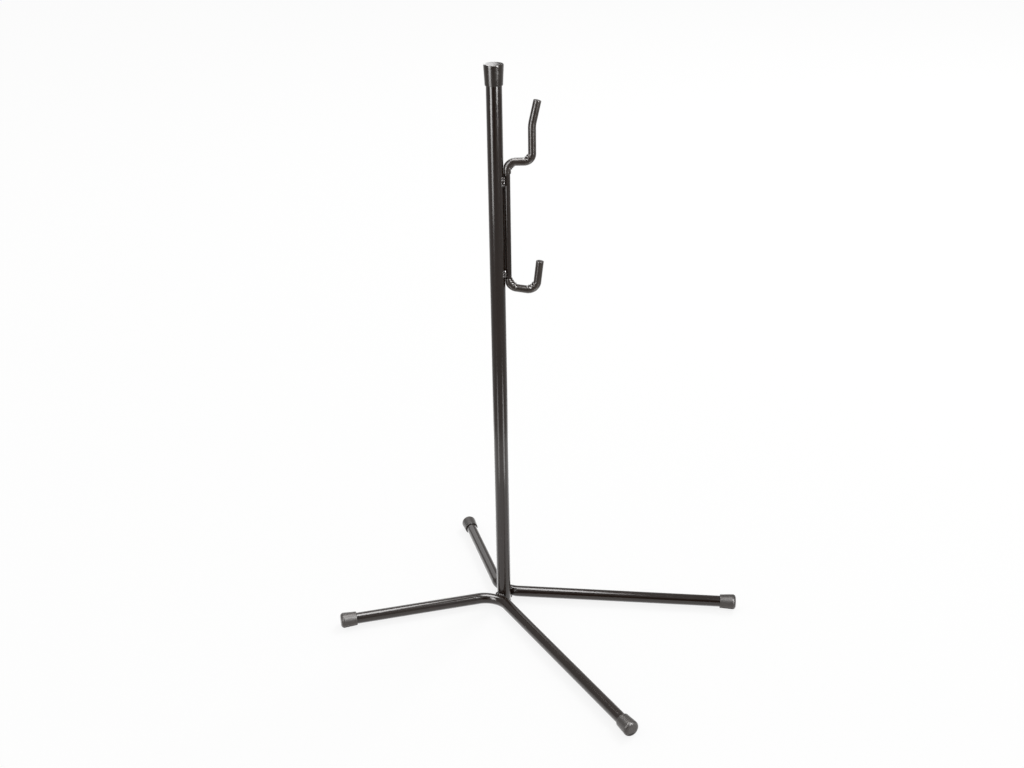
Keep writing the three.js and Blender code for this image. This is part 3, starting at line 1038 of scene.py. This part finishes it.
def floor_finish():
    """Pale and dull, and nearly white where the camera looks, with the rack's shadow kept."""
    material = bpy.data.materials.new("Studio floor")
    material.use_nodes = True
    nodes, links = material.node_tree.nodes, material.node_tree.links
    shader = nodes["Principled BSDF"]
    shader.inputs["Base Color"].default_value = (*settings().colours.floor, 1)
    shader.inputs["Roughness"].default_value = DULL
    shader.inputs["Specular IOR Level"].default_value = 0
    white = nodes.new("ShaderNodeEmission")
    white.inputs["Strength"].default_value = 1
    seen = nodes.new("ShaderNodeLightPath")
    share = nodes.new("ShaderNodeMath")
    share.operation = "MULTIPLY"
    share.inputs[1].default_value = FLOOR_WHITENESS
    links.new(seen.outputs["Is Camera Ray"], share.inputs[0])
    mix = nodes.new("ShaderNodeMixShader")
    links.new(share.outputs[0], mix.inputs["Fac"])
    links.new(shader.outputs["BSDF"], mix.inputs[1])
    links.new(white.outputs["Emission"], mix.inputs[2])
    links.new(mix.outputs["Shader"], nodes["Material Output"].inputs["Surface"])
    return material


def lay_floor():
    bm = bmesh.new()
    bmesh.ops.create_grid(bm, x_segments=1, y_segments=1, size=FLOOR_HALF_WIDTH)
    mesh = bpy.data.meshes.new("studio_floor")
    bm.to_mesh(mesh)
    bm.free()
    mesh.materials.append(floor_finish())
    floor = bpy.data.objects.new("studio_floor", mesh)
    bpy.context.scene.collection.objects.link(floor)


def dark_card(name, place, facing, width, height):
    """A dark sheet out of the picture that gives the gloss its dark band."""
    bm = bmesh.new()
    size = Matrix.Diagonal((width, height, 1, 1))
    turn = facing.to_track_quat("Z", "Y").to_matrix().to_4x4()
    bmesh.ops.create_grid(
        bm, x_segments=1, y_segments=1, size=0.5, matrix=Matrix.Translation(place) @ turn @ size
    )
    mesh = bpy.data.meshes.new(name)
    bm.to_mesh(mesh)
    bm.free()
    material = bpy.data.materials.new(name)
    material.use_nodes = True
    shader = material.node_tree.nodes["Principled BSDF"]
    shader.inputs["Base Color"].default_value = CARD_BLACK
    shader.inputs["Roughness"].default_value = DULL
    shader.inputs["Specular IOR Level"].default_value = 0
    mesh.materials.append(material)
    card = bpy.data.objects.new(name, mesh)
    bpy.context.scene.collection.objects.link(card)
    card.visible_camera = False
    card.visible_diffuse = False
    card.visible_shadow = False


def soft_box(name, place, target, width, height, radiance, gleam=True):
    """A flat soft lamp, seen only as a gleam or lighting only what is dull.

    Radiance is how bright its face is beside white.
    """
    lamp = bpy.data.lights.new(name, "AREA")
    lamp.shape = "RECTANGLE"
    lamp.size = width
    lamp.size_y = height
    lamp.energy = radiance * math.pi * width * height
    box = bpy.data.objects.new(name, lamp)
    box.rotation_euler = (target - place).to_track_quat("-Z", "Y").to_euler()
    box.location = place
    bpy.context.scene.collection.objects.link(box)
    box.visible_camera = False
    box.visible_diffuse = not gleam
    box.visible_glossy = gleam
    return box


Lamp = namedtuple("Lamp", "name place width height radiance")  # place is from the post's foot

STREAK_LAMPS = (
    Lamp("left_soft_box", (-0.66, -0.61, 0.715), 0.36, 0.77, 24),
    Lamp("left_soft_box_low", (-0.66, -0.61, 0.26), 0.36, 0.14, 13),
    Lamp("right_soft_box", (0.81, -0.89, 0.73), 0.4, 0.8, 40),
)
TOP_LAMP = Lamp("top_soft_box", (-0.285, 0.02, 1.2), 0.7, 0.75, 27)
GLINT_LAMP = Lamp("glint_lamp", (0.68, -0.7, 1.31), 0.32, 0.4, 180)
BACK_LAMP = Lamp("back_panel", (-1.2, 2.5, 1.55), 2.4, 1.5, 2.4)
FLOOR_LAMP = Lamp("floor_glow", (0, 0, 0.004), 0.84, 0.84, 1.6)
KEY_LAMP = Lamp("key_lamp", (1.8, 2.0, 3.2), 1.2, 1.2, 10)

FLOOR_STRIPS = (("left_floor_glow", -130, 5), ("right_floor_glow", -44, 8))  # heading, radiance
STRIP_DISTANCE = 0.46
STRIP_HEIGHT = 0.006
STRIP_LENGTH, STRIP_WIDTH = 0.32, 0.12

CARDS = (  # name, place from the post's foot, the way it faces along Y, width, height
    ("dark_card", (-0.15, -2.0, 0.9), 1, 1.0, 1.8),
    ("cap_card", (0.0315, 0.3, 0.78), -1, 0.06, 0.24),
)


def hang(lamp, facing, gleam=True):
    """Hangs a lamp with its face towards a direction."""
    place = POST_AXIS + Vector(lamp.place)
    size = lamp.width, lamp.height
    return soft_box(lamp.name, place, place + facing, *size, lamp.radiance, gleam)


def hang_lamps():
    """Each gleam is placed where the photograph shows its streak or glint."""
    for lamp in STREAK_LAMPS:
        hang(lamp, -Vector((lamp.place[0], lamp.place[1], 0)))
    hang(TOP_LAMP, -UP)
    hang(GLINT_LAMP, UP * RACK_TOP - Vector(GLINT_LAMP.place))
    hang(BACK_LAMP, Vector((0, -1, -0.1)))
    hang(FLOOR_LAMP, UP)
    for name, degrees, radiance in FLOOR_STRIPS:
        heading = math.radians(degrees)
        place = POST_AXIS + heading_vector(heading) * STRIP_DISTANCE + UP * STRIP_HEIGHT
        strip = soft_box(name, place, place + UP, STRIP_LENGTH, STRIP_WIDTH, radiance)
        strip.rotation_euler.rotate_axis("Z", -heading)
    hang(KEY_LAMP, -Vector(KEY_LAMP.place), gleam=False)
    for name, place, way, width, height in CARDS:
        dark_card(name, POST_AXIS + Vector(place), Vector((0, way, 0)), width, height)


def light_world():
    """White all round in the picture and in gleams, and a little dimmer as a light."""
    world = bpy.data.worlds.new("Studio light")
    bpy.context.scene.world = world
    world.use_nodes = True
    nodes, links = world.node_tree.nodes, world.node_tree.links
    seen = nodes.new("ShaderNodeLightPath")
    white = nodes.new("ShaderNodeMath")
    white.operation = "MAXIMUM"
    links.new(seen.outputs["Is Camera Ray"], white.inputs[0])
    links.new(seen.outputs["Is Glossy Ray"], white.inputs[1])
    strength = nodes.new("ShaderNodeMapRange")
    strength.inputs["To Min"].default_value = WORLD_STRENGTH
    strength.inputs["To Max"].default_value = 1
    links.new(white.outputs[0], strength.inputs["Value"])
    shader = nodes["Background"]
    shader.inputs["Color"].default_value = (1, 1, 1, 1)
    links.new(strength.outputs["Result"], shader.inputs["Strength"])


def set_camera():
    view = settings().camera
    camera = bpy.data.cameras.new("photo_camera")
    camera.sensor_width = 36
    camera.lens = view.lens
    camera.clip_end = 50
    taker = bpy.data.objects.new("photo_camera", camera)
    turn = (
        Matrix.Rotation(view.pan, 4, "Z")
        @ Matrix.Rotation(math.pi / 2 - view.pitch, 4, "X")
        @ Matrix.Rotation(-view.roll, 4, "Z")
    )
    place = POST_AXIS + Vector((0, -view.distance, view.height))
    taker.matrix_world = Matrix.Translation(place) @ turn
    bpy.context.scene.collection.objects.link(taker)
    bpy.context.scene.camera = taker


class RACK_OT_stage(bpy.types.Operator):
    """Set up the floor, the lamps and the camera"""

    bl_idname = "rack.stage"
    bl_label = "Studio"

    def execute(self, context):
        lay_floor()
        hang_lamps()
        light_world()
        set_camera()
        context.scene.view_settings.view_transform = "Standard"
        return {"FINISHED"}


PIECE_OPERATORS = (
    RACK_OT_post,
    RACK_OT_legs,
    RACK_OT_hook_rod,
    RACK_OT_sleeves,
    RACK_OT_hook_welds,
    RACK_OT_leg_welds,
    RACK_OT_top_cap,
    RACK_OT_foot_caps,
    RACK_OT_stage,
)


class RACK_PT_panel(bpy.types.Panel):
    """Lists what makes the rack"""

    bl_idname = "RACK_PT_panel"
    bl_label = "Bike Rack"
    bl_space_type = "VIEW_3D"
    bl_region_type = "UI"
    bl_category = "Bike Rack"

    def draw(self, context):
        rack = context.scene.bike_rack
        for operator in PIECE_OPERATORS:
            self.layout.operator(operator.bl_idname)
        for group_name in RackSettings.__annotations__:
            group = getattr(rack, group_name)
            box = self.layout.box()
            for name in type(group).__annotations__:
                box.prop(group, name)


CLASSES = (
    RackTubeSizes,
    RackFrontLeg,
    RackRearLeg,
    RackLegBend,
    RackHooks,
    RackCaps,
    RackColours,
    RackCamera,
    RackSettings,
    *PIECE_OPERATORS,
    RACK_PT_panel,
)


def register():
    for cls in CLASSES:
        bpy.utils.register_class(cls)
    bpy.types.Scene.bike_rack = PointerProperty(type=RackSettings)


def unregister():
    del bpy.types.Scene.bike_rack
    for cls in reversed(CLASSES):
        bpy.utils.unregister_class(cls)


def main():
    register()
    bpy.ops.rack.post()
    bpy.ops.rack.legs()
    bpy.ops.rack.hook_rod()
    bpy.ops.rack.sleeves()
    bpy.ops.rack.hook_welds()
    bpy.ops.rack.leg_welds()
    bpy.ops.rack.top_cap()
    bpy.ops.rack.foot_caps()
    bpy.ops.rack.stage()


if __name__ == "__main__":
    main()
